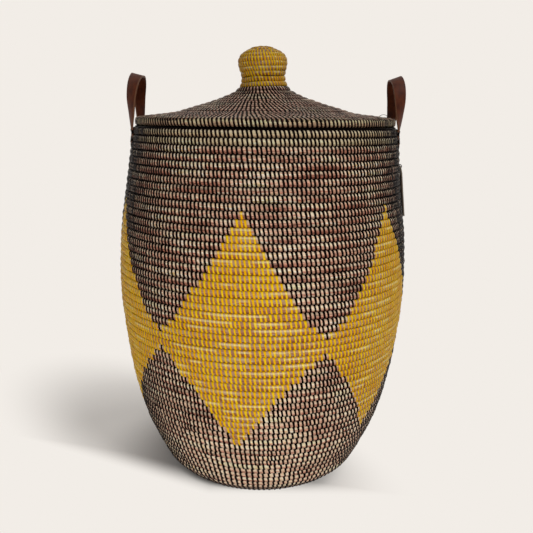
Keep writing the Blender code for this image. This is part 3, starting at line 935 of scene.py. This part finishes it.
# Handles: a strap of brown leather on each side, flat on the wall below, turned edge up at the top
# by its own twist, and bent over a hand's breadth.  Its two feet are lashed down with black strip.
LEATHER_WIDTH = 0.018
LEATHER_THICKNESS = 0.0028
LEATHER_ROUND = 0.0007
LEATHER_CUTS = 90
LEG_OFFSET = 0.0425
LEG_ABOVE_WALL = 0.0010
FOOT_ABOVE_WALL = -0.0008
HINGE_HEIGHT = 0.5148
FOOT_LENGTH = 0.0225
STRAP_PATH_SHARES = (
    (0.000, 0.000, 1.00),
    (0.250, 0.060, 1.00),
    (0.550, 0.100, 0.99),
    (0.800, 0.550, 0.79),
    (0.950, 0.900, 0.42),
    (1.000, 1.000, 0.00),
)
# side, rise and lean of the top, half the spread of the front and back legs, how far the back leg
# stands out, tilt of the top, and how early the strap turns on edge
HANDLES = (
    ("left", -1, 0.0722, 0.0029, (0.0425, 0.0370), 0.0010, math.radians(16), 1.1),
    ("right", 1, 0.0700, 0.0006, (0.0425, 0.0330), 0.0025, math.radians(22), 1.6),
)


def leg_place(height, offset=LEG_OFFSET, above=LEG_ABOVE_WALL):
    """Middle of a front strap leg where it lies on the right of the wall."""
    radius = np.interp(-height, -wall_outline[1][:, 1], wall_outline[1][:, 0]) + above
    return math.sqrt(radius**2 - offset**2), -offset, height


def half_strap(rise, lean, offset, lift_out):
    """Middle line of a right-hand strap from its front foot to the middle of its top."""
    hinge = leg_place(HINGE_HEIGHT, offset)
    middle = leg_place(HINGE_HEIGHT)[0] - lean
    foot = [
        leg_place(HINGE_HEIGHT - FOOT_LENGTH * share, offset, FOOT_ABOVE_WALL)
        for share in (1, 2 / 3, 1 / 3)
    ]
    return foot + [
        (
            hinge[0] + in_share * (middle - hinge[0]) + lift_out * math.sin(math.pi * rise_share),
            -spread_share * offset,
            hinge[2] + rise_share * rise,
        )
        for rise_share, in_share, spread_share in STRAP_PATH_SHARES
    ]


def strap_path(rise, lean, offsets, back_out):
    """Middle line of a right-hand strap from its front foot over the top to its back foot."""
    front = half_strap(rise, lean, offsets[0], 0.0)
    back = half_strap(rise, lean, offsets[1], back_out)
    return smooth_outline(front + [(out, -along, up) for out, along, up in back[-2::-1]])


def strap_frame(path, distance, top_tilt, twist_power):
    """Places on a strap's middle line, with the ways its width and its face point there."""
    lengths, curve, directions = path
    place = kept_along(lengths, curve, distance)
    direction = kept_along(lengths, directions, distance)
    direction /= np.linalg.norm(direction, axis=1)[:, None]
    loop = lengths[-1] - 2 * FOOT_LENGTH
    top_share = np.clip(1 - np.abs(2 * (distance - FOOT_LENGTH) / loop - 1), 0, 1)
    leg = np.where(distance < lengths[-1] / 2, -1, 1)
    splay = math.asin(LEG_OFFSET / math.hypot(*leg_place(HINGE_HEIGHT)[:2])) * (1 - top_share)
    tilt = top_tilt * top_share**2
    outward = np.stack(
        [np.cos(tilt) * np.cos(splay), leg * np.cos(tilt) * np.sin(splay), np.sin(tilt)], -1
    )
    outward -= direction * np.sum(outward * direction, axis=1)[:, None]
    outward /= np.linalg.norm(outward, axis=1)[:, None]
    across = np.cross(direction, outward)
    twist = ((1 - (1 - top_share) ** twist_power) * math.pi / 2)[:, None]
    width = across * np.cos(twist) + outward * np.sin(twist)
    return place, width, np.cross(direction, width)


def laid_on(name, mesh, side, places):
    """A piece laid on the left or right of the hamper where it stands, its faces facing out."""
    shift = np.outer(top_shift(np.minimum(places[:, 2], HINGE_HEIGHT)), (1, 0, 0))
    place_vertices(mesh, places * (side, 1, 1) + shift)
    bm = bmesh.new()
    bm.from_mesh(mesh)
    bmesh.ops.recalc_face_normals(bm, faces=bm.faces)
    bm.to_mesh(mesh)
    bm.free()
    return new_piece(name, mesh)


def leather_strap(name, side, path, turning):
    """A strap with rounded edges, bent along its path."""
    bm = bmesh.new()
    bmesh.ops.create_cube(bm, size=1)
    bmesh.ops.scale(bm, vec=(1, LEATHER_WIDTH, LEATHER_THICKNESS), verts=bm.verts)
    bmesh.ops.bevel(
        bm, geom=long_edges_of(bm), offset=LEATHER_ROUND, offset_type="OFFSET",
        segments=2, profile=0.5, affect="EDGES", material=-1,
    )
    bmesh.ops.subdivide_edges(bm, edges=long_edges_of(bm), cuts=LEATHER_CUTS)
    mesh = finished_mesh(bm, name)
    blank = coordinates(mesh)
    distance = (blank[:, 0] + 0.5) * path[0][-1]
    place, width, face = strap_frame(path, distance, *turning)
    _, across, through = blank.T / [[1], [LEATHER_WIDTH], [LEATHER_THICKNESS]]
    add_attribute(mesh, "leather", distance, across, through)
    return laid_on(name, mesh, side, place + width * blank[:, 1:2] + face * blank[:, 2:3])


def leather_material():
    """Dark brown leather: fine pores and creases, with a painted highlight along its two cut edges.
    """
    leather = Shading("brown_leather", roughness=0.58, shine=0.15)
    along, across, _ = leather.attribute("leather")
    place = leather.vector(along, leather.times(across, LEATHER_WIDTH), 0.0)
    patch = leather.noise(place, 90, 3.0)
    colour = leather.ramp(patch, (0.35, linear(64, 24, 8)), (0.65, linear(92, 42, 18)))
    drawn_out = leather.vector(leather.times(along, 30), leather.times(across, 9))
    streak = leather.noise(drawn_out, 1.0, 3.0)
    streak_shade = leather.ramp(streak, (0.3, (0.2, 0.2, 0.2)), (0.7, (0.75, 0.75, 0.75)))
    colour = leather.mix(0.4, colour, streak_shade, "OVERLAY")
    # Painted highlight along the two cut edges of the strap.
    edge = leather.band(leather.math("ABSOLUTE", across), 0.46, 0.495)
    colour = leather.mix(leather.times(edge, 0.8), colour, linear(112, 76, 54))
    leather.colour(colour)
    pores = leather.noise(place, 900, 2.0)
    leather.bump(pores, 0.25, 0.0004)
    return leather.material


LASHING_SHARES = (0.72, 0.28)
LASHING_STRANDS = (-0.0028, -0.0014, 0.0, 0.0014, 0.0028)
STRAND_WIDTH = 0.0013
STRAND_THICKNESS = 0.0006
STRAND_CUTS = 14
STRAND_REACH = math.radians(118)
STRAND_SLANT = 0.0007
STRAIGHT_STRAND = 2.2
STRAND_SQUARENESS = 0.35


def strand_over(path, middle, slant, turning):
    """One turn of black strip over a strap foot, down into the wall on both sides."""
    mesh = strip_blank("strand", STRAND_CUTS)
    blank = coordinates(mesh)
    angle = 2 * blank[:, 0] * STRAND_REACH
    middle = middle + slant * np.sin(angle) + blank[:, 1] * STRAND_WIDTH
    place, width, face = strap_frame(path, middle, *turning)
    clear = STRAND_THICKNESS * (1.0 + blank[:, 2])
    sine, cosine = np.sin(angle), np.cos(angle)
    side_way = LEATHER_WIDTH / 2 + clear
    side_way = side_way * np.sign(sine) * np.abs(sine) ** STRAND_SQUARENESS
    out_way = LEATHER_THICKNESS / 2 + clear
    out_way = out_way * np.sign(cosine) * np.abs(cosine) ** STRAND_SQUARENESS
    place_vertices(mesh, place + width * side_way[:, None] - face * out_way[:, None])
    add_attribute(mesh, "strip", blank[:, 1], angle, np.full(len(blank), 0.3))
    return mesh


def strap_lashings(name, side, path, turning):
    """All the black strip that holds the two feet of one strap."""
    bm = bmesh.new()
    length = path[0][-1]
    for share in LASHING_SHARES:
        for number, offset in enumerate(LASHING_STRANDS):
            for middle in (FOOT_LENGTH * share + offset, length - FOOT_LENGTH * share - offset):
                slant = STRAND_SLANT * (number - STRAIGHT_STRAND)
                strand = strand_over(path, middle, slant, turning)
                bm.from_mesh(strand)
                bpy.data.meshes.remove(strand)
    mesh = finished_mesh(bm, name)
    return laid_on(name, mesh, side, coordinates(mesh))


brown_leather = leather_material()
for hand, side, rise, lean, offsets, back_out, *turning in HANDLES:
    path = strap_path(rise, lean, offsets, back_out)
    strap = leather_strap(hand + "_leather_strap", side, path, turning)
    strap.data.materials.append(brown_leather)
    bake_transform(strap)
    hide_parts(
        hand + "_handle_strap", hand + "_front_strap_foot", hand + "_back_strap_foot"
    )
    lashings = strap_lashings(hand + "_strap_lashings", side, path, turning)
    lashings.data.materials.append(black_strip)
    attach(lashings, "basket")
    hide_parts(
        *(
            f"{hand}_{leg}_{level}_lashing"
            for leg in ("front", "back") for level in ("upper", "lower")
        ),
    )


# Hang tag: blank grey-brown board, on a small ring of black strip through the sewing of the
# right-hand side.
def tag_board_material():
    """Grey-brown board with a faint fibre."""
    board = Shading("tag_board", roughness=0.75)
    fleck = board.noise(board.object_place(), 700, 3.0)
    cloud = board.noise(board.object_place(), 60, 2.0)
    colour = board.ramp(cloud, (0.35, linear(124, 111, 95)), (0.65, linear(148, 135, 117)))
    board.colour(board.mix(board.times(fleck, 0.3), colour, linear(170, 157, 139)))
    board.bump(fleck, 0.3, 0.0002)
    return board.material


def tie_material():
    """The same black strip, on a ring too small to have its own grain."""
    tie = Shading("tie_strip", roughness=0.34, shine=0.12)
    grain = tie.noise(tie.object_place(), 1500, 2.0)
    tie.colour(tie.ramp(grain, (0.3, linear(9, 5, 6)), (0.7, linear(36, 24, 23))))
    tie.bump(grain, 0.3, 0.0002)
    return tie.material


for node, finish in (("hang_tag", tag_board_material()), ("tag_tie", tie_material())):
    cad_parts[node].material_slots[0].material = finish


# Floor: a plain pale sheet.  Far from the hamper it turns into its own backdrop colour, so that no
# horizon shows, and near the hamper it keeps the soft shadow, deepened round the foot by painted
# shadow.  What it throws back up is dimmer.
BACKDROP = linear(242, 237, 231)
FLOOR_BOUNCE = 0.8
FLOOR_OWN_LIGHT = 0.34
FLOOR_SIZE = 12.0
SHADOW_MIDDLE = (-0.158, 0.092, 0)
SHADOW_TURN = math.radians(135)
SHADOW_LENGTHENED = 2.2
SHADOW_FADE = (0.09, 0.23)
SHADOW_FRONT = (-0.105, -0.165)
SHADOW_FRONT_SLANT = 0.52
SHADOW_FRONT_BEND = -0.075
CONTACT_MIDDLE = (-0.028, 0, 0)
CONTACT_REACH = (0.096, 0.113)
OWN_LIGHT_REACH = (0.13, 0.28)
# Painted shadow: how far round the foot the floor's colour is darkened, and by how much.
CONTACT_SHADE_REACH = (0.106, 0.142)
CONTACT_SHADE = 0.5
bm = bmesh.new()
bmesh.ops.create_grid(bm, x_segments=1, y_segments=1, size=FLOOR_SIZE)
floor = new_piece("floor", finished_mesh(bm, "floor"))
paper = Shading("pale_floor", roughness=0.9, shine=0.0)


def shader_mix(share, first, second):
    """Blend two shaders."""
    node = paper.nodes.new("ShaderNodeMixShader")
    paper.put(share, node.inputs["Fac"])
    paper.put(first, node.inputs[1])
    paper.put(second, node.inputs[2])
    return node.outputs["Shader"]


def reach_of(place, middle=(0, 0, 0)):
    """How far a place on the floor lies from a middle."""
    node = paper.nodes.new("ShaderNodeVectorMath")
    node.operation = "DISTANCE"
    paper.put(place, node.inputs[0])
    node.inputs[1].default_value = middle
    return node.outputs["Value"]


glow = paper.nodes.new("ShaderNodeEmission")
glow.inputs["Color"].default_value = (*BACKDROP, 1)
dim = paper.nodes.new("ShaderNodeBsdfDiffuse")
shadow_place = paper.nodes.new("ShaderNodeMapping")
shadow_place.vector_type = "TEXTURE"
paper.put(paper.object_place(), shadow_place.inputs["Vector"])
shadow_place.inputs["Location"].default_value = SHADOW_MIDDLE
shadow_place.inputs["Rotation"].default_value = (0, 0, SHADOW_TURN)
shadow_place.inputs["Scale"].default_value = (SHADOW_LENGTHENED, 1, 1)
away = paper.band(reach_of(shadow_place.outputs[0]), *SHADOW_FADE)
sideways, forward, _ = paper.parts(paper.object_place())
slanted = paper.times(paper.math("MINIMUM", sideways, SHADOW_FRONT_BEND), SHADOW_FRONT_SLANT)
in_front = paper.band(paper.math("ADD", forward, slanted), *SHADOW_FRONT)
off_contact = paper.band(reach_of(paper.object_place(), CONTACT_MIDDLE), *CONTACT_REACH)
from_base = reach_of(paper.object_place())
# Painted shadow: the floor's colour is darkened round the foot of the hamper.
off_shade = paper.band(from_base, *CONTACT_SHADE_REACH)
shaded = tuple(CONTACT_SHADE * part for part in BACKDROP)
paper.colour(paper.mix(off_shade, shaded, BACKDROP))
bounce = tuple(FLOOR_BOUNCE * part for part in BACKDROP)
paper.put(paper.mix(off_shade, (0, 0, 0), bounce), dim.inputs["Color"])
far = paper.times(paper.math("MAXIMUM", away, in_front), off_contact)
light_path = paper.nodes.new("ShaderNodeLightPath")
is_seen = paper.math(
    "MAXIMUM", light_path.outputs["Is Camera Ray"], light_path.outputs["Is Glossy Ray"]
)
faint = paper.nodes.new("ShaderNodeEmission")
faint.inputs["Color"].default_value = (*BACKDROP, 1)
# Painted shadow too: the floor's own glow fades out towards the foot of the hamper.
off_base = paper.band(from_base, *OWN_LIGHT_REACH)
paper.put(paper.times(off_base, FLOOR_OWN_LIGHT), faint.inputs["Strength"])
near = paper.nodes.new("ShaderNodeAddShader")
paper.links.new(paper.shader.outputs["BSDF"], near.inputs[0])
paper.links.new(faint.outputs["Emission"], near.inputs[1])
near_and_far = shader_mix(far, near.outputs["Shader"], glow.outputs["Emission"])
whole_floor = shader_mix(is_seen, dim.outputs["BSDF"], near_and_far)
paper.links.new(whole_floor, paper.nodes["Material Output"].inputs["Surface"])
floor.data.materials.append(paper.material)


# Light: a soft lamp low in front, a weaker wide one high on the right, and the even light of a pale
# room.
ROOM_LIGHT = 0.16
FRONT_LAMP_PLACE = (-0.04, -1.05, 0.22)
FRONT_LAMP_SIZE = 0.5
FRONT_LAMP_POWER = 4.45
HIGH_LAMP_FROM = (0.9, -0.25, 1.5)
HIGH_LAMP_ANGLE = math.radians(32)
HIGH_LAMP_STRENGTH = 1.0
world = bpy.data.worlds.new("room")
bpy.context.scene.world = world
world.use_nodes = True
nodes, links = world.node_tree.nodes, world.node_tree.links
room = nodes["Background"]
room.inputs["Strength"].default_value = ROOM_LIGHT
room.inputs["Color"].default_value = (1, 1, 1, 1)
backdrop = nodes.new("ShaderNodeBackground")
backdrop.inputs["Color"].default_value = (*BACKDROP, 1)
path_kind = nodes.new("ShaderNodeLightPath")
seen = nodes.new("ShaderNodeMath")
seen.operation = "MAXIMUM"
links.new(path_kind.outputs["Is Camera Ray"], seen.inputs[0])
links.new(path_kind.outputs["Is Glossy Ray"], seen.inputs[1])
pick = nodes.new("ShaderNodeMixShader")
links.new(seen.outputs[0], pick.inputs["Fac"])
links.new(room.outputs["Background"], pick.inputs[1])
links.new(backdrop.outputs["Background"], pick.inputs[2])
links.new(pick.outputs["Shader"], nodes["World Output"].inputs["Surface"])


def hang_lamp(data, place, target):
    """Put a lamp in its place, turned to its target."""
    lamp = bpy.data.objects.new(data.name, data)
    lamp.location = place
    lamp.rotation_euler = (Vector(place) - Vector(target)).to_track_quat("Z", "Y").to_euler()
    bpy.context.scene.collection.objects.link(lamp)


front_lamp = bpy.data.lights.new("front_lamp", "AREA")
front_lamp.size = FRONT_LAMP_SIZE
front_lamp.energy = FRONT_LAMP_POWER
hang_lamp(front_lamp, FRONT_LAMP_PLACE, (0, 0, FRONT_LAMP_PLACE[2]))
high_lamp = bpy.data.lights.new("high_lamp", "SUN")
high_lamp.energy = HIGH_LAMP_STRENGTH
high_lamp.angle = HIGH_LAMP_ANGLE
hang_lamp(high_lamp, HIGH_LAMP_FROM, (0, 0, 0))

bpy.context.scene.view_settings.view_transform = "Standard"
